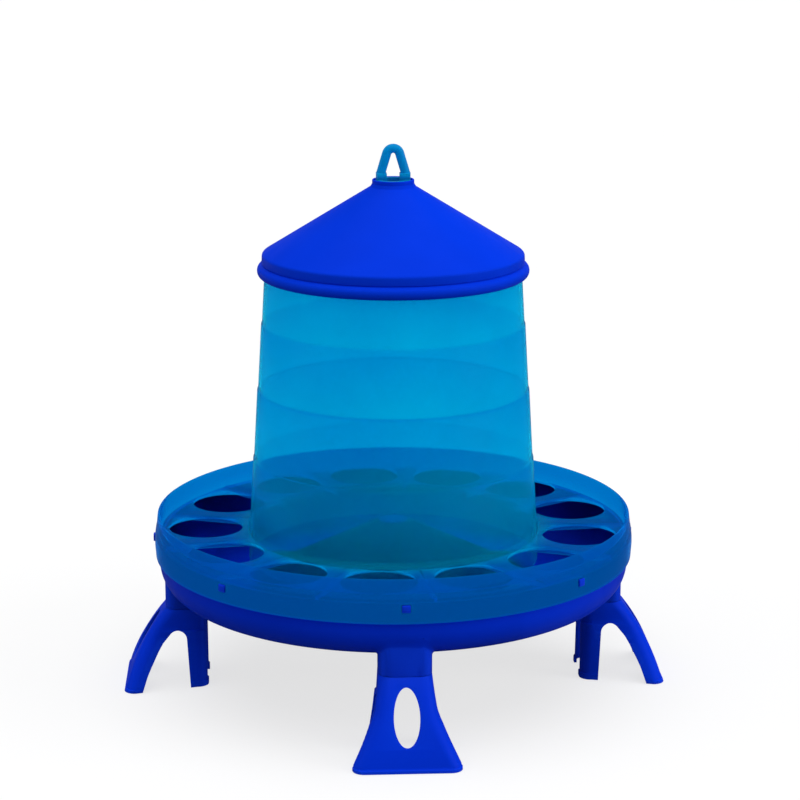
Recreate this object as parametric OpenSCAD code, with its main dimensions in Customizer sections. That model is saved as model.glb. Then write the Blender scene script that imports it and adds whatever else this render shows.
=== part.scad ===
// Gravity poultry feeder: a tapered hopper with an anti-waste feeding ring,
// standing in a round pan on four plug-in legs, with a lift-off conical lid
// that rides on a hanging loop.
// Millimetres. +Z is up. The origin is on the hopper's axis, at floor level.

/* [Feeding ring] */
// Outer diameter of the feeding ring at its rim
ring_d = 420; // [400:1:440]
// Height of the ring's rim above the floor
rim_z = 155.6; // [153:0.2:158]
// Height of the deck that the feed holes are cut in
deck_z = 140; // [138:0.5:142]
// Number of feed holes
hole_count = 13; // [8:1:14]
// Diameter of each feed hole
hole_d = 66; // [50:1:68]
// Radius of the circle that the feed holes stand on
hole_circle_r = 167.3; // [164:0.1:170]

/* [Hopper] */
// Outer radius of the hopper where it meets the deck
hopper_foot_r = 128.2; // [126:0.1:130]
// Outer radius of the hopper at its top edge
hopper_top_r = 111.9; // [110:0.1:112.2]
// Height of the hopper's top edge above the floor
hopper_top_z = 381.5; // [380:0.1:381.6]
// Outward step at the top of each hopper band
band_step = 0.8; // [0.2:0.1:1.2]
// Wall thickness of the translucent mouldings
clear_wall = 2.4; // [2:0.1:3]

/* [Pan] */
// Height of the pan's rim
pan_rim_z = 135; // [134:0.1:135.2]
// Underside of the pan's floor
pan_floor_z = 84.4; // [83:0.1:87]
// Height of the flat top of the pan's cone
cone_top_z = 145; // [130:1:150]
// Wall thickness of the blue mouldings
blue_wall = 2.5; // [2:0.1:3]

/* [Lid] */
// Height of the lid's collar
collar_z = 451.3; // [450:0.1:452]
// Outer radius of the lid's collar
collar_r = 18.3; // [18:0.1:20]
// Slope of the lid's cone, as rise over run
lid_slope = 0.619; // [0.6:0.001:0.64]
// Outer radius of the lid's bead
bead_r = 118.9; // [118:0.1:121]

/* [Hanging loop] */
// Height of the top of the loop
loop_top_z = 482; // [480:0.5:486]
// Thickness of the loop's rod
rod_d = 8; // [7:0.1:8.4]
// Lean of each side of the loop, in degrees
loop_lean = 16.6; // [12:0.1:18]

/* [Legs] */
// Height of the joint between a leg and its socket
seam_z = 70; // [66:0.5:74]
// Radius from the axis to the outer face of a socket
socket_out_r = 204.5; // [203:0.1:206]
// Radius from the axis to the inner face of a socket
socket_in_r = 168; // [166:0.1:169]
// Width of a leg at its socket
leg_top_w = 44.8; // [43:0.1:46]
// Width of a leg at the floor
leg_foot_w = 89; // [84:0.5:92]
// Radius from the axis to the front of a foot
foot_r = 240.8; // [238:0.1:242]

/* [Hidden] */

eps = 0.01;
ring_r = ring_d / 2;
clear_blue = [0.05, 0.55, 0.82, 0.7];
solid_blue = [0.02, 0.12, 0.85];

// Hopper bands, from the deck up: height of each outward step
band_z = [204, 266, 325];
skirt_z = 112;            // lower edge of the skirt that the feed runs out under
skirt_r = 129.3;
fillet_r = 5;
fin_in_z = 131.4;         // lower edge of the fins under the deck, at the skirt
fin_out_z = 134;          // and at the outer wall
fin_w = 2;
wall_foot_z = 118;        // lower edge of the ring's outer wall
wall_bulge = 2.8;
inner_fillet_r = 9;
lug_count = 8;
lug_w = 7;
lug_z = 128.4;
lug_h = 6.2;
lug_out_r = 214.2;
window_gap = 0.4;

// Pan
pan_rim_r = 209.8;
bowl_arc_r = 27.5;
cone_top_r = 12.6;
cone_slope = 0.515;

// Lid and the fit round the hopper's top
lid_foot_z = 367.6;
lid_foot_r = 115.6;
lid_seat_z = hopper_top_z + 0.4;
shoulder_r = 114.7;
bead_z = 372.2;
bead_h = 5.4;
collar_bore_r = 15.6;

// Hanger
bush_r = 15.2;
bush_bore_r = 11.4;
bush_top_z = collar_z - 0.1;
block_z = 457;
block_in_x = 5.6;
block_out_x = 14.7;
block_w = 10.5;
loop_arc_r = 5.8;
arm_z = 369.5;
arm_h = 8;
arm_w = 4;
tab_w = 8;
tab_h = 5;

// Legs
socket_corner_r = 11;
spigot_gap = 0.35;
spigot_h = 14;
leg_shoulder_gap = 0.2;
foot_corner_r = 10;
arch_r = 8.2;
arch_mid_r = 193.8;
arch_mid_z = 42.8;
oval_w = 21.7;
oval_low_z = 18.7;
oval_high_z = 62.8;
foot_lip = 0.8;
lip_z = 2.8;              // height that the lip along a foot's edge rises to
inner_lip = 1.1;          // lip along the foot of a leg's inner prong
inner_lip_z = 5;
// Half width of a leg's outer panel, by height
panel_half = [[-1, leg_foot_w / 2], [4, leg_foot_w / 2], [22.9, 35.2], [34.8, 29.9],
              [38.7, 27.9], [44, 25.8], [58, 23.6], [seam_z + 1, leg_top_w / 2 - 0.2]];
// Half width of a leg's inner prong, by height
prong_half = [[-1, 30.8], [27, 27.6], [50.2, 24.9], [51.2, 23.5], [seam_z + 1, leg_top_w / 2]];
// Heights of the leg's cross-sections
leg_levels = [0, 2.6, 3, 4.6, 5.4, 9, 16, 23, 29, 35, 39, 44, 50.2, 51.2, 58, seam_z - leg_shoulder_gap];
// Arc that the outside of a leg follows from the socket to the floor
leg_arc_r = 177.4;
leg_arc_z = -44.9;
leg_arc_in = foot_r - sqrt(leg_arc_r * leg_arc_r - leg_arc_z * leg_arc_z);

// Points on an arc, from angle a to angle b
function arc(cx, cy, r, a, b, n = 8) =
    [for (i = [0:n]) [cx + r * cos(a + (b - a) * i / n), cy + r * sin(a + (b - a) * i / n)]];

// Outer radius of the hopper's wall at height z, above k of its steps
function hopper_r(z, k) =
    hopper_foot_r + (hopper_top_r - hopper_foot_r + len(band_z) * band_step)
    * (z - deck_z) / (hopper_top_z - deck_z) - k * band_step;

// Outside of the hopper tube, from the deck's fillet to the top edge
function hopper_side(inset) = concat(
    [[hopper_r(deck_z + fillet_r, 0) - inset, deck_z + fillet_r]],
    [for (k = [0:len(band_z) - 1]) for (s = [0, 1])
        [hopper_r(band_z[k], k + s) - inset, band_z[k] + s * eps]],
    [[hopper_r(hopper_top_z, len(band_z)) - inset, hopper_top_z]]);

function reversed(list) = [for (i = [len(list) - 1:-1:0]) list[i]];

// Cross-section of the hopper, deck and outer wall, in one moulding
function hopper_profile() =
    let (deck_low = deck_z - clear_wall,
         wall_in = ring_r + wall_bulge - clear_wall,
         rim_half = clear_wall / 2)
    concat(
        [[skirt_r - clear_wall, skirt_z], [skirt_r, skirt_z], [hopper_foot_r + 0.2, deck_low]],
        [[ring_r - 4, deck_low], [ring_r - 4, pan_rim_z], [wall_in, pan_rim_z]],
        [[wall_in - 0.6, wall_foot_z], [wall_in + clear_wall - 0.8, wall_foot_z]],
        arc(ring_r + wall_bulge - 60, 131, 60, -4, 14, 6),
        arc(ring_r - rim_half, rim_z - rim_half, rim_half, 10, 180, 8),
        arc(ring_r - clear_wall - 0.2 - inner_fillet_r, deck_z + inner_fillet_r,
            inner_fillet_r, 0, -90, 8),
        arc(hopper_r(deck_z + fillet_r, 0) + fillet_r, deck_z + fillet_r, fillet_r, 270, 180, 6),
        hopper_side(0),
        reversed(hopper_side(clear_wall)),
        [[hopper_foot_r - clear_wall, deck_z]]);

module feed_holes() {
    for (k = [0:hole_count - 1])
        rotate(180 + k * 360 / hole_count)
            translate([hole_circle_r, 0, deck_z - clear_wall - 1])
                cylinder(d = hole_d, h = clear_wall + 2, $fn = 96);
}

// Fins between the holes, from the skirt out to the ring's wall
module fins() {
    fin_in = hopper_foot_r - 0.5;
    fin_out = ring_r - 4.5;
    fin_top = deck_z - clear_wall + 0.5;
    for (k = [0:hole_count - 1])
        rotate([90, 0, 180 + (k + 0.5) * 360 / hole_count])
            translate([0, 0, -fin_w / 2])
                linear_extrude(fin_w)
                    polygon([[fin_in, fin_in_z], [fin_out, fin_out_z],
                             [fin_out, fin_top], [fin_in, fin_top]]);
}

// Windows in the outer wall that the pan's lugs reach through
module lug_windows() {
    for (k = [0:lug_count - 1])
        rotate(k * 360 / lug_count)
            translate([ring_r - 2, -lug_w / 2 - window_gap, lug_z - window_gap])
                cube([10, lug_w + 2 * window_gap, lug_h + 2 * window_gap]);
}

// Windows near the top edge that the hanger's arms snap into
module arm_windows() {
    for (k = [0:3])
        rotate(45 + k * 90)
            translate([hopper_top_r - 4, -tab_w / 2 - 0.1, arm_z - 0.1])
                cube([8, tab_w + 0.2, tab_h + 0.2]);
}

module hopper() {
    color(clear_blue)
        difference() {
            union() {
                rotate_extrude($fn = 180) polygon(hopper_profile());
                fins();
            }
            feed_holes();
            lug_windows();
            arm_windows();
        }
}

// Rounded rectangle from x0 to x1 and half_w each side of the X axis
module round_rect(x0, x1, half_w, r) {
    translate([x0 + r, -half_w]) square([x1 - x0 - 2 * r, 2 * half_w]);
    translate([x0, -half_w + r]) square([x1 - x0, 2 * half_w - 2 * r]);
    for (x = [x0 + r, x1 - r], y = [-half_w + r, half_w - r])
        translate([x, y]) circle(r, $fn = 48);
}

// Outside of the pan: rim, bowl arc, floor
function bowl_outside(inset) = concat(
    [[0, pan_floor_z + inset]],
    arc(pan_rim_r - 1 - bowl_arc_r, pan_floor_z + bowl_arc_r, bowl_arc_r - inset, -90, 0, 10),
    [[pan_rim_r - inset, pan_rim_z + 1], [0, pan_rim_z + 1]]);

// Wall of the pan, with the feed cone and its flat top
function pan_profile() =
    let (floor_top = pan_floor_z + blue_wall,
         cone_foot_r = cone_top_r + (cone_top_z - floor_top) / cone_slope,
         cx = pan_rim_r - 1 - bowl_arc_r,
         cz = pan_floor_z + bowl_arc_r)
    concat(
        [[0, cone_top_z - blue_wall], [cone_top_r - 1, cone_top_z - blue_wall]],
        [[cone_foot_r - 5, pan_floor_z]],
        arc(cx, cz, bowl_arc_r, -90, 0, 10),
        [[pan_rim_r, pan_rim_z], [pan_rim_r - blue_wall, pan_rim_z]],
        arc(cx, cz, bowl_arc_r - blue_wall, 0, -90, 10),
        [[cone_foot_r, floor_top], [cone_top_r, cone_top_z], [0, cone_top_z]]);

module base_pan() {
    color(solid_blue)
        union() {
            rotate_extrude($fn = 180) polygon(pan_profile());
            for (k = [0:lug_count - 1])
                rotate(k * 360 / lug_count)
                    translate([pan_rim_r - 1.5, -lug_w / 2, lug_z])
                        cube([lug_out_r - pan_rim_r + 1.5, lug_w, lug_h]);
            difference() {
                for (k = [0:3])
                    rotate(k * 90)
                        translate([0, 0, seam_z + leg_shoulder_gap])
                            linear_extrude(45)
                                difference() {
                                    round_rect(socket_in_r, socket_out_r, leg_top_w / 2,
                                               socket_corner_r);
                                    round_rect(socket_in_r + blue_wall, socket_out_r - blue_wall,
                                               leg_top_w / 2 - blue_wall,
                                               socket_corner_r - blue_wall);
                                }
                rotate_extrude($fn = 180) polygon(bowl_outside(blue_wall / 2));
            }
        }
}

// One side of the loop's rod, from its foot block to the bend
module loop_side() {
    bend_z = loop_top_z - rod_d / 2 - loop_arc_r;
    translate([loop_arc_r * cos(loop_lean), 0, bend_z + loop_arc_r * sin(loop_lean)])
        rotate([0, 180 - loop_lean, 0])
            cylinder(d = rod_d, h = 22, $fn = 48);
}

module hanger() {
    bend_z = loop_top_z - rod_d / 2 - loop_arc_r;
    color(clear_blue)
        difference() {
            union() {
                translate([0, 0, bend_z])
                    rotate([90, 0, 0])
                        rotate([0, 0, loop_lean])
                            rotate_extrude(angle = 180 - 2 * loop_lean, $fn = 96)
                                translate([loop_arc_r, 0]) circle(d = rod_d, $fn = 48);
                intersection() {
                    union() {
                        loop_side();
                        mirror([1, 0, 0]) loop_side();
                        for (side = [-1, 1])
                            translate([(block_in_x + block_out_x) / 2 * side, 0,
                                       (block_z + bush_top_z) / 2 - 1])
                                cube([block_out_x - block_in_x, block_w,
                                      block_z - bush_top_z + 2], center = true);
                    }
                    translate([0, 0, bush_top_z - 6])
                        cylinder(r = bush_r, h = 50, $fn = 96);
                }
                translate([0, 0, arm_z])
                    cylinder(r = bush_r, h = bush_top_z - arm_z, $fn = 96);
                for (k = [0:3])
                    rotate(45 + k * 90) {
                        translate([bush_r - 2, -arm_w / 2, arm_z])
                            cube([hopper_top_r - clear_wall - bush_r + 1, arm_w, arm_h]);
                        translate([hopper_top_r - 14, -tab_w / 2, arm_z])
                            cube([14.2, tab_w, tab_h]);
                    }
            }
            translate([0, 0, arm_z - 1])
                cylinder(r = bush_bore_r, h = bush_top_z - arm_z - 2, $fn = 96);
            translate([0, 0, bush_top_z - 4])
                intersection() {
                    cylinder(r = bush_bore_r, h = 4 + eps, $fn = 96);
                    translate([-block_in_x, -20, 0]) cube([2 * block_in_x, 40, 5]);
                }
        }
}

// Cross-section of the lid: collar, cone, shoulder, skirt and bead
function lid_profile() =
    let (cone_foot_z = collar_z - 5.3,
         under = 2.9,
         shoulder_z = cone_foot_z - lid_slope * (shoulder_r - 2.6 - collar_r),
         ledge_r = 108.5,
         cone_in = function(r) cone_foot_z - lid_slope * (r - collar_r) - under)
    concat(
        [[collar_bore_r, collar_z - 0.6], [collar_bore_r + 0.6, collar_z]],
        [[collar_r - 0.8, collar_z], [collar_r, collar_z - 0.8], [collar_r, cone_foot_z]],
        [[shoulder_r - 2.6, shoulder_z]],
        arc(shoulder_r - 4.2, shoulder_z - 3.2, 4.2, 50, 0, 5),
        [for (a = [78:-12:-78]) [shoulder_r + (bead_r - shoulder_r) * cos(a), bead_z + bead_h * sin(a)]],
        [[lid_foot_r, lid_foot_z], [lid_foot_r - 1.7, lid_foot_z]],
        [[hopper_top_r + 1, lid_seat_z], [ledge_r, lid_seat_z], [ledge_r, cone_in(ledge_r)]],
        [[collar_bore_r, cone_in(collar_bore_r)]]);

module lid() {
    color(solid_blue)
        rotate_extrude($fn = 180) polygon(lid_profile());
}

// Radius from the axis to the outside of a leg at height z
function leg_out_r(z) =
    leg_arc_in + sqrt(leg_arc_r * leg_arc_r - (z - leg_arc_z) * (z - leg_arc_z))
    + (z < lip_z ? foot_lip : 0);

// Rounded section of a leg at height z, drawn inset from its outside
function leg_ring(z, inset) =
    let (x1 = leg_out_r(z) - inset,
         x0 = socket_in_r + inset - (z < inner_lip_z ? inner_lip : 0),
         lip = z < lip_z ? foot_lip : 0,
         y1 = lookup(z, panel_half) - inset + lip,
         y0 = lookup(z, prong_half) - inset,
         r = foot_corner_r - inset,
         q = 90)
    [for (c = [[x1 - r, y1 - r, 0], [x0 + r, y0 - r, q],
               [x0 + r, r - y0, 2 * q], [x1 - r, r - y1, 3 * q]])
        for (i = [0:4])
            [c[0] + r * cos(c[2] + i * q / 4), c[1] + r * sin(c[2] + i * q / 4), z]];

// Solid through a list of sections, each with the same number of points
module loft(rings) {
    n = len(rings[0]);
    m = len(rings);
    polyhedron(
        [for (ring = rings) for (p = ring) p],
        concat([[for (i = [0:n - 1]) i]],
               [for (j = [0:m - 2]) for (i = [0:n - 1])
                   [j * n + i, (j + 1) * n + i, (j + 1) * n + (i + 1) % n, j * n + (i + 1) % n]],
               [[for (i = [n - 1:-1:0]) (m - 1) * n + i]]),
        convexity = 8);
}

// Side view of the arch between a leg's outer panel and its inner prong
function arch_outline() = concat(
    [[182.7, -2]],
    arc(arch_mid_r, arch_mid_z, arch_r, 176, 42, 8),
    [[206.9, 39.9], [214.1, 26.4], [220.4, 13.7], [225.7, -2]]);

module leg() {
    ring_top = seam_z - leg_shoulder_gap;
    cut_levels = [for (z = leg_levels) z == 0 ? -1 : z == ring_top ? ring_top - blue_wall : z];
    color(solid_blue) {
        difference() {
            loft([for (z = leg_levels) leg_ring(z, 0)]);
            loft([for (z = cut_levels) leg_ring(z, blue_wall)]);
            rotate([90, 0, 0])
                translate([0, 0, -60]) linear_extrude(120) polygon(arch_outline());
            translate([arch_mid_r, 0, (oval_low_z + oval_high_z) / 2])
                rotate([0, 90, 0])
                    linear_extrude(60)
                        polygon([for (i = [0:31])
                            [(oval_high_z - oval_low_z) / 2 * cos(i * 11.25),
                             oval_w / 2 * sin(i * 11.25)]]);
            translate([socket_in_r - 3, -15, -1]) cube([14, 30, 58]);
        }
        // Spigot that plugs into the pan's socket
        translate([0, 0, ring_top - eps])
            linear_extrude(spigot_h)
                difference() {
                    round_rect(socket_in_r + blue_wall + spigot_gap,
                               socket_out_r - blue_wall - spigot_gap,
                               leg_top_w / 2 - blue_wall - spigot_gap,
                               socket_corner_r - blue_wall);
                    round_rect(socket_in_r + 2 * blue_wall + spigot_gap,
                               socket_out_r - 2 * blue_wall - spigot_gap,
                               leg_top_w / 2 - 2 * blue_wall - spigot_gap,
                               socket_corner_r - 2 * blue_wall);
                }
    }
}

base_pan();
hopper();
hanger();
lid();
rotate(-90) leg();  // leg_front
leg();  // leg_right
rotate(90) leg();  // leg_back
rotate(180) leg();  // leg_left
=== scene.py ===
import math

import bmesh
import bpy
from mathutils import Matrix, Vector


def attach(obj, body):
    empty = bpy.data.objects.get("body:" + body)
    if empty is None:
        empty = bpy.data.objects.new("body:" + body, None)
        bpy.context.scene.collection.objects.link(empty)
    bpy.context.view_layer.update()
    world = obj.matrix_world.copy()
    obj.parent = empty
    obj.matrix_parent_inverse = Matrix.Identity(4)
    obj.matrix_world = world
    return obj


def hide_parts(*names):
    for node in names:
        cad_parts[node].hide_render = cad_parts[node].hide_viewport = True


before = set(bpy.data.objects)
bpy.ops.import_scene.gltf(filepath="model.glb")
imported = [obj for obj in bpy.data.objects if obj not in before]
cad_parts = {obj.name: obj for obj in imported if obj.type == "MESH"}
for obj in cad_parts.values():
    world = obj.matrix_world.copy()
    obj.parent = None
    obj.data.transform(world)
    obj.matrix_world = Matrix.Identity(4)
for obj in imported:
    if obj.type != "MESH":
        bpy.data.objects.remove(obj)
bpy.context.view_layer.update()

MM = 0.001
TURN = 2 * math.pi
TINY = 1e-6

# Sizes of the feeder, in millimetres, measured from its upright axis and from the ground
HOLE_COUNT = 13
HOLE_RADIUS = 33
HOLE_CIRCLE = 167.3
DECK = 140
DECK_UNDER = 137.6
TUBE_WALL = 2.4
TUBE_FOOT_RADIUS = 128.2
TUBE_TOP = 381.5
TUBE_TOP_RADIUS = 111.9
STEPS_AT = (204, 266, 325)
STEP_IN = 0.8
LUG_COUNT = 8
WALL = 2.5
PAN_FLOOR = 86.9
CONE_TOP = 145
CONE_SLOPE = 0.515
BOWL_CENTRE = (181.3, 111.9)
BOWL_RADIUS = 27.5
SOCKET_SEAM = 70.2
SOCKET_NEAR = 168
SOCKET_FAR = 204.5
SOCKET_HALF = 22.4
SOCKET_CORNER = 11
LEG_TOP = 69.8
ARM_COUNT = 4
FIRST_ARM = 45


# ---------------------------------------------------------------- workshop

def put_down():
    """Leaves edit mode with nothing selected."""
    if bpy.context.object and bpy.context.object.mode != "OBJECT":
        bpy.ops.object.mode_set(mode="OBJECT")
    bpy.ops.object.select_all(action="DESELECT")


def pick_up(piece):
    """Selects one piece and makes it the active one."""
    put_down()
    piece.select_set(True)
    bpy.context.view_layer.objects.active = piece


def work_on(piece, kind):
    """Opens a piece in edit mode with nothing selected."""
    pick_up(piece)
    bpy.ops.object.mode_set(mode="EDIT")
    bpy.ops.mesh.select_mode(type=kind)
    bpy.ops.mesh.select_all(action="DESELECT")


def pick_edges(piece, wanted):
    """Selects the edges whose middle, in mm, and fold, in degrees, pass a test."""
    mesh = bmesh.from_edit_mesh(piece.data)
    for edge in mesh.edges:
        if len(edge.link_faces) == 2:
            middle = (edge.verts[0].co + edge.verts[1].co) / 2 / MM
            if wanted(middle, math.degrees(edge.calc_face_angle(0))):
                edge.select_set(True)
    bmesh.update_edit_mesh(piece.data)


def soften(piece, width, segments, wanted):
    """Rounds the edges that pass a test."""
    work_on(piece, "EDGE")
    pick_edges(piece, wanted)
    bpy.ops.mesh.bevel(offset=width * MM, segments=segments, affect="EDGES", clamp_overlap=True)
    put_down()


def clean(piece):
    """Merges doubles and points every face outwards."""
    work_on(piece, "VERT")
    bpy.ops.mesh.select_all(action="SELECT")
    bpy.ops.mesh.remove_doubles(threshold=TINY)
    bpy.ops.mesh.normals_make_consistent(inside=False)
    put_down()


def smooth(piece, degrees=32):
    """Shades a piece smoothly across every fold gentler than an angle."""
    pick_up(piece)
    bpy.ops.object.shade_smooth_by_angle(angle=math.radians(degrees))
    put_down()


def combine(piece, tool, operation):
    """Cuts a tool shape out of a piece, joins it on, or keeps what they share."""
    pick_up(piece)
    step = piece.modifiers.new(operation.lower(), "BOOLEAN")
    step.operation = operation
    step.object = tool
    step.solver = "EXACT"
    bpy.ops.object.modifier_apply(modifier=step.name)
    bpy.data.objects.remove(tool, do_unlink=True)


def joined(name, pieces):
    """Several shapes as one mesh."""
    put_down()
    for piece in pieces:
        piece.select_set(True)
    bpy.context.view_layer.objects.active = pieces[0]
    bpy.ops.object.join()
    pieces[0].name = name
    return pieces[0]


def turned_copies(piece, count, first=0.0):
    """Copies of a piece, each with its own mesh, set evenly round the axis."""
    copies = []
    for k in range(count):
        copy = piece.copy()
        copy.data = piece.data.copy()
        bpy.context.scene.collection.objects.link(copy)
        pick_up(copy)
        copy.rotation_euler.z = math.radians(first) + TURN * k / count
        bpy.ops.object.transform_apply(location=True, rotation=True, scale=True)
        copies.append(copy)
    bpy.data.objects.remove(piece, do_unlink=True)
    return copies


def drawn(name, points, closed=True):
    """A wire drawn through points, in mm, by extruding one corner from each to the next."""
    put_down()
    start = Vector(points[0]) * MM
    bpy.ops.mesh.primitive_plane_add(size=MM, location=start)
    piece = bpy.context.object
    piece.name = name
    bpy.ops.object.transform_apply(location=True, rotation=True, scale=True)
    bpy.ops.object.mode_set(mode="EDIT")
    bpy.ops.mesh.select_mode(type="VERT")
    bpy.ops.mesh.merge(type="CENTER")
    for here, there in zip(points, points[1:]):
        move = (Vector(there) - Vector(here)) * MM
        bpy.ops.mesh.extrude_region_move(TRANSFORM_OT_translate={"value": move})
    if closed:
        bpy.ops.mesh.select_all(action="DESELECT")
        mesh = bmesh.from_edit_mesh(piece.data)
        mesh.verts.ensure_lookup_table()
        mesh.verts[0].select_set(True)
        mesh.verts[len(points) - 1].select_set(True)
        bmesh.update_edit_mesh(piece.data)
        bpy.ops.mesh.edge_face_add()
    bpy.ops.mesh.select_all(action="SELECT")
    return piece


def turned(name, outline, closed=True, sections=192):
    """An outline of (radius, height) points spun round the axis."""
    piece = drawn(name, [(r, 0, z) for r, z in outline], closed)
    bpy.ops.mesh.spin(steps=sections, angle=TURN, center=(0, 0, 0), axis=(0, 0, 1))
    clean(piece)
    return piece


def prism(name, points, push):
    """A flat outline, filled and extruded."""
    piece = drawn(name, points)
    bpy.ops.mesh.edge_face_add()
    bpy.ops.mesh.extrude_region_move(TRANSFORM_OT_translate={"value": Vector(push) * MM})
    clean(piece)
    return piece


def pulled_on(piece, old_ring, new_ring):
    """Extrudes the selected ring and sets each of its points in its new place."""
    bpy.ops.mesh.extrude_region_move(TRANSFORM_OT_translate={"value": (0, 0, 0)})
    mesh = bmesh.from_edit_mesh(piece.data)
    loose = [point for point in mesh.verts if point.select]
    for old, new in zip(old_ring, new_ring):
        point = min(loose, key=lambda p: (p.co - Vector(old) * MM).length)
        loose.remove(point)
        point.co = Vector(new) * MM
    bmesh.update_edit_mesh(piece.data)


def skinned(name, rings):
    """A closed shape through rings of points: each ring is extruded from the last and set in place."""
    piece = drawn(name, rings[0])
    bpy.ops.mesh.edge_face_add()
    for old_ring, new_ring in zip(rings, rings[1:]):
        pulled_on(piece, old_ring, new_ring)
    clean(piece)
    return piece


def ring_band(name, rings):
    """A band through rings of points that closes on its first ring."""
    piece = drawn(name, rings[0])
    bpy.ops.mesh.select_mode(type="EDGE")
    bpy.ops.mesh.select_all(action="SELECT")
    for old_ring, new_ring in zip(rings, rings[1:] + rings[:1]):
        pulled_on(piece, old_ring, new_ring)
    clean(piece)
    return piece


def block(name, low, high, rounding=0.0, segments=2):
    """A box between two corners, in mm, with its edges rounded if asked."""
    put_down()
    low, high = Vector(low), Vector(high)
    bpy.ops.mesh.primitive_cube_add(size=1, location=(low + high) / 2 * MM, scale=(high - low) * MM)
    piece = bpy.context.object
    piece.name = name
    bpy.ops.object.transform_apply(location=True, rotation=True, scale=True)
    if rounding:
        soften(piece, rounding, segments, lambda middle, fold: True)
    put_down()
    return piece


def arc(cx, cz, radius, start, end, steps=8):
    """Points on an arc between two angles, in degrees."""
    points = []
    for k in range(steps + 1):
        a = math.radians(start + (end - start) * k / steps)
        points.append((cx + radius * math.cos(a), cz + radius * math.sin(a)))
    return points


def rounded(corners, steps=5):
    """A closed outline from (x, y, rounding) corners."""
    outline = []
    for k, (x, y, radius) in enumerate(corners):
        here = Vector((x, y))
        if not radius:
            outline.append((x, y))
            continue
        back = (Vector(corners[k - 1][:2]) - here).normalized()
        on = (Vector(corners[(k + 1) % len(corners)][:2]) - here).normalized()
        half = back.angle(on) / 2
        centre = here + (back + on).normalized() * (radius / math.sin(half))
        first = here + back * (radius / math.tan(half)) - centre
        last = here + on * (radius / math.tan(half)) - centre
        sweep = math.pi - 2 * half
        for i in range(steps + 1):
            t = i / steps
            swung = first * math.sin((1 - t) * sweep) + last * math.sin(t * sweep)
            spot = centre + swung / math.sin(sweep)
            outline.append((spot.x, spot.y))
    return outline


# ---------------------------------------------------------------- hopper with its feeding ring

def hopper_radius(z, steps_passed):
    """Outside of the tube at a height: it narrows upwards and steps in slightly at each band."""
    narrowing = TUBE_TOP_RADIUS - TUBE_FOOT_RADIUS + STEP_IN * len(STEPS_AT)
    return TUBE_FOOT_RADIUS + narrowing * (z - DECK) / (TUBE_TOP - DECK) - STEP_IN * steps_passed


def tube_side(inset):
    """The tube's side from the deck up, with a small rounded shelf at each band."""
    side = [(hopper_radius(DECK + 5, 0) - inset, DECK + 5)]
    for k, z in enumerate(STEPS_AT):
        side.append((hopper_radius(z, k) - inset, z - 0.5))
        side.append((hopper_radius(z, k) - 0.35 - inset, z))
        side.append((hopper_radius(z, k + 1) - inset, z + 0.5))
    side.append((hopper_radius(TUBE_TOP, len(STEPS_AT)) - inset, TUBE_TOP))
    return side


def make_hopper():
    """The tapered tube with the covered feeding ring round its foot."""
    tube_foot = hopper_radius(DECK + 5, 0)
    outer = [(r, z, 0) for r, z in tube_side(0)][:-1] + [(TUBE_TOP_RADIUS, TUBE_TOP, 0.9)]
    inner = [(TUBE_TOP_RADIUS - TUBE_WALL, TUBE_TOP, 0.9)]
    inner += [(r, z, 0) for r, z in reversed(tube_side(TUBE_WALL))][1:]
    outline = rounded(
        [(126.9, 112, 0.9), (129.3, 112, 0.9), (128.4, DECK_UNDER, 2)]
        + [(206, DECK_UNDER, 1), (206, 135, 0), (210.4, 135, 0.8)]
        + [(209.9, 118, 0.8), (212, 118, 0.8)]
        + [(r, z, 0) for r, z in arc(152.8, 131, 60, -6, 14, 12)]
        + [(r, z, 0) for r, z in arc(208.8, 154.4, 1.2, 10, 175, 8)]
        + [(r, z, 0) for r, z in arc(198.4, 149, 9, 0, -90, 10)]
        + [(r, z, 0) for r, z in arc(tube_foot + 5, DECK + 5, 5, 270, 185, 8)]
        + outer + inner
        + [(125.8, DECK, 3)], steps=4)
    hopper = turned("hopper_moulding", outline)

    fins = turned_copies(
        prism("fin", [(127.7, -1, 131.4), (205.5, -1, 134), (205.5, -1, 138.4), (127.7, -1, 138.4)],
              (0, 2, 0)),
        HOLE_COUNT, 180 + 180 / HOLE_COUNT)
    combine(hopper, joined("fins", fins), "UNION")

    put_down()
    bpy.ops.mesh.primitive_cylinder_add(vertices=72, radius=HOLE_RADIUS * MM, depth=10 * MM,
                                        location=(HOLE_CIRCLE * MM, 0, (DECK - 1) * MM))
    punch = bpy.context.object
    bpy.ops.object.transform_apply(location=True, rotation=True, scale=True)
    combine(hopper, joined("punches", turned_copies(punch, HOLE_COUNT, 180)), "DIFFERENCE")

    windows = turned_copies(block("window", (208, -3.9, 128), (218, 3.9, 135)), LUG_COUNT)
    combine(hopper, joined("windows", windows), "DIFFERENCE")
    arm_window = block("window", (107.9, -4.1, 369.4), (115.9, 4.1, 374.6))
    combine(hopper, joined("windows", turned_copies(arm_window, ARM_COUNT, FIRST_ARM)), "DIFFERENCE")

    def hole_rim(middle, fold):
        """The sharp edges of the feed holes, on the deck's upper and under face."""
        if fold < 60 or not (abs(middle.z - DECK) < 0.05 or abs(middle.z - DECK_UNDER) < 0.05):
            return False
        pitch = 360 / HOLE_COUNT
        bearing = math.degrees(math.atan2(middle.y, middle.x))
        turn = math.radians(180 + round((bearing - 180) / pitch) * pitch)
        away = math.hypot(middle.x - HOLE_CIRCLE * math.cos(turn), middle.y - HOLE_CIRCLE * math.sin(turn))
        return abs(away - HOLE_RADIUS) < 0.15

    soften(hopper, 0.5, 2, hole_rim)
    smooth(hopper)
    return hopper


# ---------------------------------------------------------------- pan with its leg sockets

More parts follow.
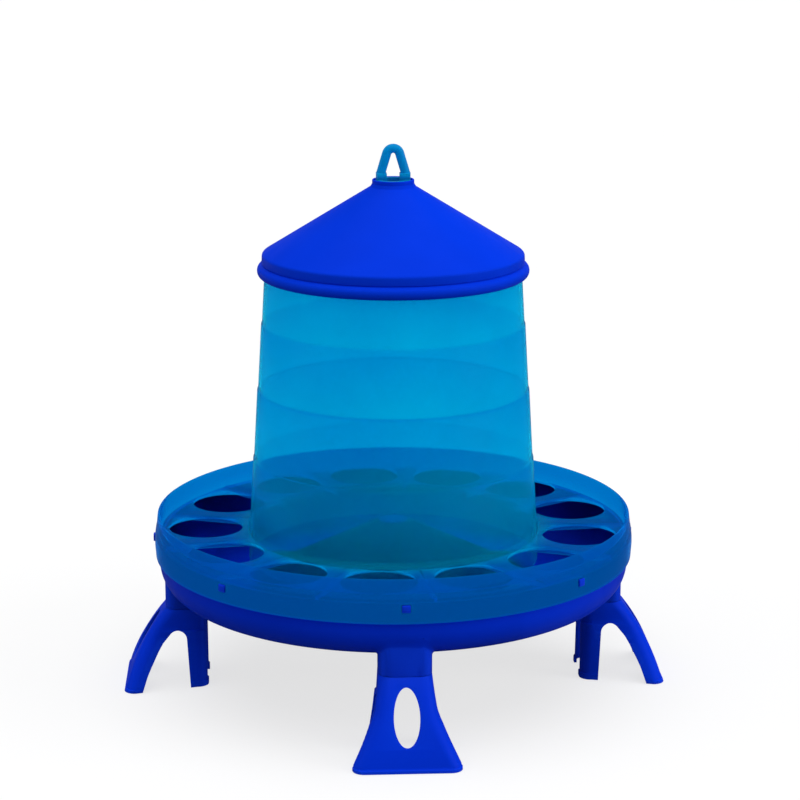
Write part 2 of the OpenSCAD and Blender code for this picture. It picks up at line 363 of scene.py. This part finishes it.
def bowl_height(radius, offset=0.0):
    """Height of the pan's underside at a radius, moved into the wall by an offset."""
    reach = BOWL_RADIUS - offset
    out = radius - BOWL_CENTRE[0]
    if out <= 0:
        return BOWL_CENTRE[1] - reach
    return BOWL_CENTRE[1] - math.sqrt(max(reach * reach - out * out, 0))


def socket_outline(inset=0.0):
    """Plan of a leg socket on the +X side."""
    x0, x1, half, radius = SOCKET_NEAR + inset, SOCKET_FAR - inset, SOCKET_HALF - inset, SOCKET_CORNER - inset
    return rounded([(x1, half, radius), (x0, half, radius), (x0, -half, radius), (x1, -half, radius)], 9)


def outward(outline, distance):
    """A socket's outline moved outwards."""
    centre = Vector(((SOCKET_NEAR + SOCKET_FAR) / 2, 0))
    moved = []
    for k, (x, y) in enumerate(outline):
        along = Vector(outline[(k + 1) % len(outline)]) - Vector(outline[k - 1])
        away = Vector((along.y, -along.x)).normalized()
        if away.dot(Vector((x, y)) - centre) < 0:
            away = -away
        moved.append((x + away.x * distance, y + away.y * distance))
    return moved


def on_socket_side(plan, middle):
    """Whether an edge's middle lies near a socket's outline and not further in, on its bore."""
    near = min((Vector(spot) - Vector((middle.x, middle.y))).length for spot in plan) < 2.2
    skin = 1.2
    further_in = SOCKET_NEAR + skin < middle.x < SOCKET_FAR - skin and abs(middle.y) < SOCKET_HALF - skin
    return near and not further_in


def make_pan():
    """The round pan with its feed cone, four leg sockets and the lugs that hold the hopper."""
    cone_foot = 12.6 + (CONE_TOP - PAN_FLOOR) / CONE_SLOPE
    cx, cz = BOWL_CENTRE
    outline = [(0, CONE_TOP - WALL), (11.2, CONE_TOP - WALL), (cone_foot - 5, PAN_FLOOR - WALL)]
    outline += arc(cx, cz, BOWL_RADIUS, -90, 0, 16)
    outline += [(209.6, 133.6)] + arc(208.55, 133.75, 1.25, 0, 180, 6) + [(206.9, 120)]
    outline += arc(cx, cz, BOWL_RADIUS - WALL, 0, -90, 14)
    outline += [(cone_foot + 3, PAN_FLOOR), (cone_foot + 0.6, 87.3), (cone_foot - 1.6, 88.1)]
    outline += [(13.8, 144.4), (13.1, 144.85), (12.2, CONE_TOP), (0, CONE_TOP)]
    pan = turned("feed_pan", outline, closed=False)

    plan = socket_outline()
    tube = prism("socket", [(x, y, SOCKET_SEAM) for x, y in plan], (0, 0, 44))
    bore = prism("socket_bore", [(x, y, SOCKET_SEAM - 5) for x, y in socket_outline(WALL)], (0, 0, 60))
    combine(tube, bore, "DIFFERENCE")

    # The socket flares into the bowl with a rounded root, sunk a little into both
    root, sunk, sunk_in_bowl = 3.2, -0.9, 1.2

    def root_ring(distance, below, into_wall=0.0):
        """The socket's outline moved outwards, at a depth below the bowl's underside."""
        return [(x, y, bowl_height(math.hypot(x, y), into_wall) - below) for x, y in outward(plan, distance)]

    rings = [root_ring(sunk, root + 0.6), root_ring(0.0, root + 0.6)]
    for k in range(1, 8):
        a = math.radians(90 * k / 7)
        rings.append(root_ring(root * (1 - math.cos(a)), root * (1 - math.sin(a))))
    rings.append(root_ring(root, 0, sunk_in_bowl))
    rings.append(root_ring(sunk, 0, sunk_in_bowl))
    flare = ring_band("socket_root", rings)
    within = 1.4
    hollow = turned("bowl_hollow", [(150, bowl_height(150, within))]
                    + arc(cx, cz, BOWL_RADIUS - within, -90, 0, 16)
                    + [(cx + BOWL_RADIUS - within, 130), (150, 130)])
    combine(tube, hollow, "DIFFERENCE")
    combine(tube, flare, "UNION")
    soften(tube, 0.5, 2, lambda middle, fold: fold > 60 and middle.z < SOCKET_SEAM + 0.05
           and on_socket_side(plan, middle))
    sockets = joined("sockets", turned_copies(tube, 4))
    combine(pan, sockets, "UNION")
    lugs = turned_copies(block("lug", (208.3, -3.5, 128.4), (214.2, 3.5, 134.6), 0.5), LUG_COUNT)
    combine(pan, joined("lugs", lugs), "UNION")
    smooth(pan)
    return pan


# ---------------------------------------------------------------- lid

def make_lid():
    """The cone with its collar, its rolled bead and the skirt that fits over the tube."""
    slope = 0.619
    collar, collar_bore, collar_foot, collar_top = 18.3, 15.6, 446.0, 451.3
    shoulder = 114.6
    seat, seat_height = 108.5, 381.9
    bead_height, bead_stretch = 372.2, 1.22

    def upper(radius):
        """Height of the cone's upper face."""
        return collar_foot - slope * (radius - collar)

    def under(radius):
        """Height of the cone's under face."""
        return upper(radius) - 2.9

    outline = rounded(
        [(collar_bore, collar_top, 0.5), (collar, collar_top, 0.8), (collar, collar_foot, 1.4)]
        + [(shoulder, upper(shoulder) + 0.2, 3.4), (114.9, 377.6, 0.9)], 5)
    outline += arc(114.7, bead_height, 4.2, 62, -70, 12)
    # The bead is a little taller than a circle
    outline = [(r, bead_height + (z - bead_height) * bead_stretch) if r > 115.2 and z < 377 else (r, z)
               for r, z in outline]
    outline += rounded([(115.9, 367.6, 0), (113.9, 367.6, 0.6), (112.9, seat_height, 0),
                        (seat, seat_height, 0), (seat, under(seat), 0),
                        (collar_bore, under(collar_bore), 0.5)], 4)
    lid = turned("cone_lid", outline)
    smooth(lid)
    return lid


# ---------------------------------------------------------------- hanger with its loop

def make_hanger():
    """The leaning loop on its bush, with the four arms that carry the hopper."""
    rod, bend, bend_z, lean = 4.0, 5.8, 472.2, math.radians(16.6)
    sides, bend_steps = 28, 16
    ring = [(rod * math.cos(a), rod * math.sin(a)) for a in [TURN * k / sides for k in range(sides)]]
    down = Vector((math.sin(lean), 0, -math.cos(lean)))
    start = Vector((bend * math.cos(lean), 0, bend_z + bend * math.sin(lean)))
    limb = [start + down * reach for reach in (20, 15, 10, 5)]
    path = list(limb)
    for k in range(bend_steps + 1):
        a = lean + (math.pi - 2 * lean) * k / bend_steps
        path.append(Vector((bend * math.cos(a), 0, bend_z + bend * math.sin(a))))
    path += [Vector((-spot.x, 0, spot.z)) for spot in reversed(limb)]
    rings = []
    for k, spot in enumerate(path):
        ahead = path[min(k + 1, len(path) - 1)] - path[max(k - 1, 0)]
        side = Vector((0, 1, 0)).cross(ahead).normalized()
        rings.append([tuple(spot + side * x + Vector((0, y, 0))) for x, y in ring])
    hanger = skinned("hanging_loop", rings)

    for sign in (-1, 1):
        low, high = sorted((5.6 * sign, 16.0 * sign))
        foot = block("loop_foot", (low, -5.25, 449), (high, 5.25, 457), 0.9, 3)
        combine(hanger, foot, "UNION")
    limit = turned("limit", [(0, 440), (15.05, 440), (15.05, 458.5), (30, 470), (30, 490), (0, 490)],
                   closed=False, sections=96)
    combine(hanger, limit, "INTERSECT")

    bush = turned("bush", rounded([(11.4, 369.5, 0.6), (15.2, 369.5, 0.6), (15.2, 451.2, 0.6),
                                   (11.4, 451.2, 0.6)], 3), sections=96)
    combine(bush, hanger, "UNION")
    arm = block("arm", (13.2, -2, 369.5), (110.3, 2, 377.5), 0.5)
    arms = turned_copies(arm, ARM_COUNT, FIRST_ARM)
    tab = block("arm_tab", (97.9, -4, 369.5), (112.1, 4, 374.5), 0.5)
    tabs = turned_copies(tab, ARM_COUNT, FIRST_ARM)
    for shape in arms + tabs:
        combine(bush, shape, "UNION")
    bush.name = "hanger_with_loop"
    smooth(bush)
    return bush


# ---------------------------------------------------------------- legs

# Half widths of a leg's outer panel and inner prong, as (height, half width) rows
PANEL_HALF = ((-1, 44.5), (4, 44.5), (22.9, 35.2), (29, 32.4), (34.8, 29.9), (38.7, 27.9), (44, 25.8),
              (58, 23.6), (71, 22.2))
PRONG_HALF = ((-1, 30.8), (27, 27.6), (50.2, 24.9), (51.2, 23.5), (71, 22.4))
# A leg's outside sweeps down to its foot in one arc
ARC_RADIUS = 177.4
ARC_HEIGHT = -44.9
FOOT_OUT = 240.8
# Lips along the foot, on the outer panel and on the inner prong
LIP = 0.8
LIP_TOP = 3.3
INNER_LIP = 1.1
INNER_LIP_TOP = 5.2
INNER_LIP_FADE = 0.6
OVAL_HALF_WIDTH = 10.85
OVAL_HALF_HEIGHT = 22.05
OVAL_CENTRE = 40.75


def read_off(table, z):
    """A value between the rows of a table."""
    for (z0, v0), (z1, v1) in zip(table, table[1:]):
        if z <= z1:
            return v0 + (v1 - v0) * (z - z0) / (z1 - z0)
    return table[-1][1]


def leg_reach(z):
    """Radius of a leg's outside at a height."""
    inner = FOOT_OUT - math.sqrt(ARC_RADIUS ** 2 - ARC_HEIGHT ** 2)
    return inner + math.sqrt(ARC_RADIUS ** 2 - (z - ARC_HEIGHT) ** 2)


def leg_ring(z, height, inset, corner):
    """Section of a leg at a height, drawn inset from its outside."""
    lip = LIP * min(max(LIP_TOP - z, 0), 1) if inset == 0 else 0
    inner_lip = INNER_LIP * min(max((INNER_LIP_TOP - z) / INNER_LIP_FADE, 0), 1)
    x1, x0 = leg_reach(z) + lip - inset, SOCKET_NEAR - inner_lip + inset
    y1, y0 = read_off(PANEL_HALF, z) + lip - inset, read_off(PRONG_HALF, z) - inset
    radius = corner - inset
    spots = []
    for cx, cy, turn in ((x1 - radius, y1 - radius, 0), (x0 + radius, y0 - radius, 90),
                         (x0 + radius, radius - y0, 180), (x1 - radius, radius - y1, 270)):
        for k in range(9):
            a = math.radians(turn + 90 * k / 8)
            spots.append((cx + radius * math.cos(a), cy + radius * math.sin(a), height))
    return spots


def make_leg():
    """The right-hand leg: a hollow, arched stand with a spigot that plugs into its socket."""
    levels = (0, 2.3, 3.3, 4.6, 5.2, 7, 10, 14, 18, 22, 26, 30, 34, 38, 42, 46, 50.2, 51.2, 56, 62, LEG_TOP)
    corner = [10 + z / 70 for z in levels]
    leg = skinned("leg", [leg_ring(z, z, 0, c) for z, c in zip(levels, corner)])
    heights = [-1] + list(levels[1:-1]) + [LEG_TOP - WALL]
    core = skinned("core", [leg_ring(z, h, WALL, c) for z, h, c in zip(levels, heights, corner)])
    combine(leg, core, "DIFFERENCE")
    arch = [(182.6, -2)] + arc(193.8, 42.8, 8.2, 176, 42, 16)
    arch += [(206.9, 39.9), (210.7, 33.5), (214.1, 26.6), (217.5, 19.8), (220.5, 13.2), (225.7, -2)]
    combine(leg, prism("arch", [(x, -70, z) for x, z in arch], (0, 140, 0)), "DIFFERENCE")
    oval = [(180, OVAL_HALF_WIDTH * math.sin(a), OVAL_CENTRE + OVAL_HALF_HEIGHT * math.cos(a))
            for a in [TURN * k / 56 for k in range(56)]]
    combine(leg, prism("oval", oval, (80, 0, 0)), "DIFFERENCE")
    combine(leg, block("slot", (160, -15, -2), (179, 15, 57)), "DIFFERENCE")

    def free_edge(middle, fold):
        """The edges along the arches and round the foot."""
        if fold < 35:
            return False
        half = read_off(PANEL_HALF, middle.z) if middle.x > 200 else read_off(PRONG_HALF, middle.z)
        on_side = abs(middle.y) > half - 2.0
        near_arch = min(math.hypot(middle.x - x, middle.z - z) for x, z in arch) < 4.5
        in_arch = 176 < middle.x < 229
        on_foot = middle.z < 0.05 and (middle.x > leg_reach(0) - 0.6 or abs(middle.y) > half - 0.4)
        return (on_side and near_arch and in_arch and middle.z > 0.2) or on_foot

    soften(leg, 0.7, 3, free_edge)

    def oval_rim(middle, fold):
        """The oval's edge on the leg's outside."""
        reach = math.hypot(middle.y / OVAL_HALF_WIDTH, (middle.z - OVAL_CENTRE) / OVAL_HALF_HEIGHT)
        return fold > 35 and abs(reach - 1) < 0.03 and middle.x > leg_reach(middle.z) - 0.6

    soften(leg, 0.5, 2, oval_rim)
    soften(leg, 0.35, 2, lambda middle, fold: fold > 60 and abs(middle.z - LEG_TOP) < 0.02)

    play = 0.35
    spigot = prism("spigot", [(x, y, LEG_TOP - 0.6) for x, y in socket_outline(WALL + play)], (0, 0, 14.6))
    hollow = prism("hollow", [(x, y, LEG_TOP - 3) for x, y in socket_outline(2 * WALL + play)], (0, 0, 20))
    combine(spigot, hollow, "DIFFERENCE")
    combine(leg, spigot, "UNION")
    smooth(leg)
    return leg


# ---------------------------------------------------------------- finishes

def new_group(name, inputs, outputs):
    """A shader group with named inputs and outputs."""
    group = bpy.data.node_groups.new(name, "ShaderNodeTree")
    for label, kind, value in inputs:
        socket = group.interface.new_socket(name=label, in_out="INPUT", socket_type=kind)
        socket.default_value = value
    for label, kind in outputs:
        group.interface.new_socket(name=label, in_out="OUTPUT", socket_type=kind)
    return group, group.nodes.new("NodeGroupInput"), group.nodes.new("NodeGroupOutput")


# Where a mixing node keeps its two colours and its answer
FIRST_COLOUR = 6
SECOND_COLOUR = 7
MIXED_COLOUR = 2


def mix_colours(tree, factor, first, second):
    """A blend from one colour to another."""
    node = tree.nodes.new("ShaderNodeMix")
    node.data_type = "RGBA"
    tree.links.new(factor, node.inputs["Factor"])
    tree.links.new(first, node.inputs[FIRST_COLOUR])
    tree.links.new(second, node.inputs[SECOND_COLOUR])
    return node.outputs[MIXED_COLOUR]


def fixed_colour(tree, colour):
    """A colour that stays the same everywhere."""
    node = tree.nodes.new("ShaderNodeRGB")
    node.outputs[0].default_value = (*colour, 1)
    return node.outputs[0]


def sum_step(tree, operation, first, second, clamp=False):
    """One sum on two amounts."""
    node = tree.nodes.new("ShaderNodeMath")
    node.operation = operation
    node.use_clamp = clamp
    tree.links.new(first, node.inputs[0])
    tree.links.new(second, node.inputs[1])
    return node.outputs[0]


def stretched(tree, source, low, high, new_low, new_high):
    """An amount mapped from one range to another, whose ends may be numbers or sockets."""
    node = tree.nodes.new("ShaderNodeMapRange")
    tree.links.new(source, node.inputs["Value"])
    for socket, value in zip(("From Min", "From Max"), (low, high)):
        node.inputs[socket].default_value = value
    for socket, value in zip(("To Min", "To Max"), (new_low, new_high)):
        if isinstance(value, bpy.types.NodeSocket):
            tree.links.new(value, node.inputs[socket])
        else:
            node.inputs[socket].default_value = value
    return node.outputs["Result"]


def noise(tree, place, scale, detail):
    """Cloudy noise over the piece."""
    node = tree.nodes.new("ShaderNodeTexNoise")
    node.inputs["Scale"].default_value = scale
    node.inputs["Detail"].default_value = detail
    tree.links.new(place, node.inputs["Vector"])
    return node.outputs["Fac"]


def moulded_skin_group():
    """Moulding grain, colour drift, rubbed edges, painted shade by place with a matching painted glow, and
    painted shade in hollows, for every plastic.
    """
    group, given, made = new_group(
        "moulded_skin",
        [("Colour", "NodeSocketColor", (0, 0, 1, 1)), ("Deep Colour", "NodeSocketColor", (0, 0, 1, 1)),
         ("Worn Colour", "NodeSocketColor", (0, 0, 1, 1)), ("Wear", "NodeSocketFloat", 0.2),
         ("Smooth Roughness", "NodeSocketFloat", 0.3), ("Dull Roughness", "NodeSocketFloat", 0.45),
         ("Speckle", "NodeSocketFloat", 0.2), ("Cavity Shade", "NodeSocketFloat", 0.0),
         ("Depth", "NodeSocketFloat", 0.0), ("Painted Shade Colour", "NodeSocketColor", (0, 0, 0.1, 1))],
        [("Colour", "NodeSocketColor"), ("Roughness", "NodeSocketFloat"), ("Height", "NodeSocketFloat"),
         ("Painted Glow", "NodeSocketColor")])
    place = group.nodes.new("ShaderNodeTexCoord").outputs["Object"]
    drift = noise(group, place, 9, 3)
    grain = noise(group, place, 700, 1)
    smear = noise(group, place, 60, 4)
    colour = mix_colours(group, stretched(group, drift, 0.35, 0.65, 0, 0.6), given.outputs["Colour"],
                         given.outputs["Deep Colour"])
    speckle = sum_step(group, "MULTIPLY", stretched(group, grain, 0.3, 0.7, 0, 1), given.outputs["Speckle"])
    colour = mix_colours(group, speckle, colour, given.outputs["Deep Colour"])
    # Painted shade: the colour darkens towards the shade colour as far as the material's radius and height
    # stops ask
    colour = mix_colours(group, given.outputs["Depth"], colour, given.outputs["Painted Shade Colour"])
    edge = stretched(group, group.nodes.new("ShaderNodeNewGeometry").outputs["Pointiness"], 0.51, 0.56, 0,
                     given.outputs["Wear"])
    colour = mix_colours(group, edge, colour, given.outputs["Worn Colour"])
    # Painted glow: a blue glow that rises with the painted shade amount, used by pieces given an emission
    # strength
    unlit = fixed_colour(group, (0, 0, 0))
    caught_light = fixed_colour(group, (0, 0.22, 1))
    group.links.new(mix_colours(group, given.outputs["Depth"], unlit, caught_light), made.inputs["Painted Glow"])
    # Painted shade in hollows: the colour turns near black where ambient occlusion finds surfaces close round
    # it
    cavity_shade = group.nodes.new("ShaderNodeAmbientOcclusion")
    cavity_shade.samples = 6
    cavity_shade.inputs["Distance"].default_value = 0.12
    closeness = stretched(group, cavity_shade.outputs["AO"], 0.25, 0.75, 1, 0)
    hollow_shade = sum_step(group, "MULTIPLY", closeness, given.outputs["Cavity Shade"])
    colour = mix_colours(group, hollow_shade, colour, fixed_colour(group, (0, 0.004, 0.04)))
    group.links.new(colour, made.inputs["Colour"])
    group.links.new(stretched(group, smear, 0.35, 0.65, given.outputs["Smooth Roughness"],
                              given.outputs["Dull Roughness"]), made.inputs["Roughness"])
    group.links.new(grain, made.inputs["Height"])
    return group


moulded_skin = moulded_skin_group()


def vector_step(tree, operation, source, by=None):
    """One sum on a place, with a fixed second place where it needs one."""
    node = tree.nodes.new("ShaderNodeVectorMath")
    node.operation = operation
    tree.links.new(source, node.inputs[0])
    if by:
        node.inputs[1].default_value = by
    return node.outputs["Value" if operation in ("LENGTH", "DOT_PRODUCT") else "Vector"]


def graded(tree, measure, stops):
    """An amount that follows a measure, from (millimetres, amount) stops."""
    reach = stops[-1][0]
    ramp = tree.nodes.new("ShaderNodeValToRGB")
    tree.links.new(stretched(tree, measure, 0, reach * MM, 0, 1), ramp.inputs["Fac"])
    points = ramp.color_ramp.elements
    while len(points) < len(stops):
        points.new(1)
    for point, (place, amount) in zip(points, stops):
        point.position = place / reach
        point.color = (amount, amount, amount, 1)
    return ramp.outputs["Color"]


EVEN = ((0, 0), (500, 0))


def plastic(name, colour, deep, worn, settings, roughness=(0.30, 0.42), wear=0.3, speckle=0.12, bump=0.10,
            cavity_shade=0.0, shade_by_radius=EVEN, shade_by_height=EVEN, painted_shade_colour=(0, 0, 0.1)):
    """A plastic finish: the shared skin feeding a Principled shader whose constants are given."""
    material = bpy.data.materials.new(name)
    material.use_nodes = True
    tree = material.node_tree
    shader = tree.nodes["Principled BSDF"]
    skin = tree.nodes.new("ShaderNodeGroup")
    skin.node_tree = moulded_skin
    for socket, tone in (("Colour", colour), ("Deep Colour", deep), ("Worn Colour", worn),
                         ("Painted Shade Colour", painted_shade_colour)):
        skin.inputs[socket].default_value = (*tone, 1)
    smooth_side, dull_side = roughness
    for socket, amount in (("Wear", wear), ("Smooth Roughness", smooth_side), ("Dull Roughness", dull_side),
                           ("Speckle", speckle), ("Cavity Shade", cavity_shade)):
        skin.inputs[socket].default_value = amount
    place = tree.nodes.new("ShaderNodeTexCoord").outputs["Object"]
    radius = vector_step(tree, "LENGTH", vector_step(tree, "MULTIPLY", place, (1, 1, 0)))
    height = vector_step(tree, "DOT_PRODUCT", place, (0, 0, 1))
    # Painted shade amount, from the stops by radius and by height
    depth = sum_step(tree, "MAXIMUM", graded(tree, radius, shade_by_radius), graded(tree, height, shade_by_height))
    tree.links.new(depth, skin.inputs["Depth"])
    grain = tree.nodes.new("ShaderNodeBump")
    grain.inputs["Strength"].default_value = bump
    grain.inputs["Distance"].default_value = 0.0003
    tree.links.new(skin.outputs["Height"], grain.inputs["Height"])
    tree.links.new(skin.outputs["Colour"], shader.inputs["Base Color"])
    tree.links.new(skin.outputs["Roughness"], shader.inputs["Roughness"])
    tree.links.new(grain.outputs["Normal"], shader.inputs["Normal"])
    # Pieces given an emission strength glow with the painted glow
    if "Emission Strength" in settings:
        tree.links.new(skin.outputs["Painted Glow"], shader.inputs["Emission Color"])
    for socket, value in settings.items():
        shader.inputs[socket].default_value = value
    return material


SOLID_SHEEN = {"IOR": 1.45, "Specular IOR Level": 0.02}
LID_SHEEN = {"IOR": 1.45, "Specular IOR Level": 0.008}
RUBBED_BLUE = (0.01, 0.08, 0.95)
# Painted shade: the feed cone is coloured darker, as it lies in the hopper's shade; its flat top is coloured
# less dark, as it catches more light
PAN_SHADE_BY_RADIUS = ((0, 0.7), (12.4, 0.7), (13.2, 0.96), (118, 0.96), (140, 0.0), (500, 0))
# Painted shade: the feeding ring is coloured darker than the tube, and each band of the tube darker towards
# its top
HOPPER_SHADE_BY_RADIUS = ((0, 0), (128.5, 0), (150, 0.72), (204, 0.78), (206, 0.85), (500, 0.85))
HOPPER_SHADE_BY_HEIGHT = ((0, 0), (145, 0.0), (203.6, 0.20), (204.3, 0.02), (265.4, 0.26), (265.7, 0.5),
                    (266.4, 0.0), (324.5, 0.26), (325.3, 0.0), (381, 0.18), (500, 0.18))

# The pan is painted dark in its hollows and darker over the feed cone, as painted shade
blue_pan = plastic("blue_pan_plastic", (0.001, 0.038, 0.80), (0.001, 0.030, 0.66), RUBBED_BLUE, SOLID_SHEEN,
                   cavity_shade=0.97, shade_by_radius=PAN_SHADE_BY_RADIUS, painted_shade_colour=(0, 0.004, 0.05))
blue_lid = plastic("blue_lid_plastic", (0.001, 0.044, 0.82), (0.001, 0.036, 0.70), RUBBED_BLUE, LID_SHEEN)
blue_leg = plastic("blue_leg_plastic", (0.001, 0.040, 0.80), (0.001, 0.032, 0.68), RUBBED_BLUE, SOLID_SHEEN,
                   roughness=(0.32, 0.45))
# The hopper glows with painted light, strongest where its painted shade is deepest
clear_hopper = plastic("translucent_hopper_plastic", (0.0, 0.69, 0.91), (0.0, 0.54, 0.81), (0.0, 0.72, 0.92),
                       {"IOR": 1.03, "Transmission Weight": 0.83, "Specular IOR Level": 0.3,
                        "Emission Strength": 0.14},
                       roughness=(0.10, 0.18), wear=0.2, speckle=0.5, bump=0.25,
                       shade_by_radius=HOPPER_SHADE_BY_RADIUS, shade_by_height=HOPPER_SHADE_BY_HEIGHT, painted_shade_colour=(0, 0.10, 0.38))
clear_hanger = plastic("translucent_hanger_plastic", (0.0, 0.36, 0.80), (0.0, 0.28, 0.70), (0.0, 0.60, 0.92),
                       {"IOR": 1.15, "Transmission Weight": 0.4, "Specular IOR Level": 0.15},
                       roughness=(0.25, 0.35), wear=0.2, speckle=0.3, bump=0.25)


def dress(piece, material, body, slot, *nodes):
    """Gives a finished piece its finish and its body, and hides the CAD nodes that it stands for."""
    piece.data.materials.clear()
    piece.data.materials.append(material)
    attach(piece, body)
    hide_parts(*nodes)


dress(make_hopper(), clear_hopper, "feeder_body", "clear_blue_hopper", "hopper")
dress(make_pan(), blue_pan, "feeder_body", "blue_pan", "base_pan")
dress(make_hanger(), clear_hanger, "feeder_body", "clear_blue_hanger", "hanger")
dress(make_lid(), blue_lid, "lid", "blue_lid", "lid")
for side, leg in zip(("right", "back", "left", "front"), turned_copies(make_leg(), 4)):
    leg.name = "plug_in_leg_" + side
    smooth(leg)
    dress(leg, blue_leg, "leg_" + side, "blue_leg", "leg_" + side)


# ---------------------------------------------------------------- studio

def bounced_rays(tree):
    """1 for rays bounced off a surface, 0 for rays seen directly or through a clear plastic."""
    rays = tree.nodes.new("ShaderNodeLightPath").outputs
    reflected = sum_step(tree, "SUBTRACT", rays["Is Glossy Ray"], rays["Is Transmission Ray"], clamp=True)
    return sum_step(tree, "MAXIMUM", rays["Is Diffuse Ray"], reflected)


def make_floor():
    """A pale floor that glows evenly where it is seen and stays dim in what bounces off it."""
    put_down()
    bpy.ops.mesh.primitive_plane_add(size=14, location=(0, 3, -0.0004))
    floor = bpy.context.object
    floor.name = "studio_floor"
    bpy.ops.object.transform_apply(location=True, rotation=True, scale=True)
    material = bpy.data.materials.new("pale_floor")
    material.use_nodes = True
    tree = material.node_tree
    shader = tree.nodes["Principled BSDF"]
    place = tree.nodes.new("ShaderNodeTexCoord").outputs["Object"]
    ramp = tree.nodes.new("ShaderNodeValToRGB")
    ramp.color_ramp.elements[0].color = (0.26, 0.26, 0.26, 1)
    ramp.color_ramp.elements[1].color = (0.29, 0.29, 0.29, 1)
    tree.links.new(noise(tree, place, 2, 3), ramp.inputs["Fac"])
    bounced = bounced_rays(tree)
    colour = mix_colours(tree, bounced, ramp.outputs["Color"], fixed_colour(tree, (0.16, 0.16, 0.17)))
    tree.links.new(colour, shader.inputs["Base Color"])
    glow = mix_colours(tree, bounced, fixed_colour(tree, (0.72, 0.72, 0.72)), fixed_colour(tree, (0, 0, 0)))
    tree.links.new(glow, shader.inputs["Emission Color"])
    shader.inputs["Emission Strength"].default_value = 1.0
    shader.inputs["Roughness"].default_value = 0.7
    shader.inputs["Specular IOR Level"].default_value = 0.1
    floor.data.materials.append(material)


def add_light(name, come_from, power, spread):
    """A far, wide light; the spread is the angle it fills in the sky, in degrees."""
    light = bpy.data.lights.new(name, "SUN")
    light.energy = power
    light.angle = math.radians(spread)
    lamp = bpy.data.objects.new(name, light)
    bpy.context.scene.collection.objects.link(lamp)
    lamp.rotation_euler = (-Vector(come_from)).to_track_quat("-Z", "Y").to_euler()


make_floor()
add_light("top_light", (0.0, -0.08, 1.0), 2.3, 80)
add_light("right_light", (0.90, -0.30, 0.32), 1.15, 40)
add_light("left_light", (-0.95, -0.10, 0.25), 0.3, 30)

world = bpy.data.worlds.new("studio_air")
bpy.context.scene.world = world
world.use_nodes = True
air = world.node_tree
SKY_SEEN = 1.0
SKY_BOUNCED = 0.18
background = air.nodes["Background"]
air.links.new(stretched(air, bounced_rays(air), 0, 1, SKY_SEEN, SKY_BOUNCED), background.inputs["Strength"])
background.inputs["Color"].default_value = (1, 1, 1, 1)

# Camera: a long lens in front, slightly to the left and above
AXIS_HEIGHT = 0.2543
SIDESTEP = 0.0059
TURN_RIGHT = 0.049564
eye = Vector((-0.1036, -2.0887, 0.7672))
right = Vector((math.cos(TURN_RIGHT), -math.sin(TURN_RIGHT), 0))
target = Vector((0, 0, AXIS_HEIGHT)) + right * SIDESTEP
view = bpy.data.cameras.new("studio_camera")
view.lens = 109.49
view.sensor_width = 36
camera = bpy.data.objects.new("studio_camera", view)
bpy.context.scene.collection.objects.link(camera)
camera.location = eye
camera.rotation_euler = (target - eye).to_track_quat("-Z", "Y").to_euler()
bpy.context.scene.camera = camera
bpy.context.scene.view_settings.view_transform = "Standard"
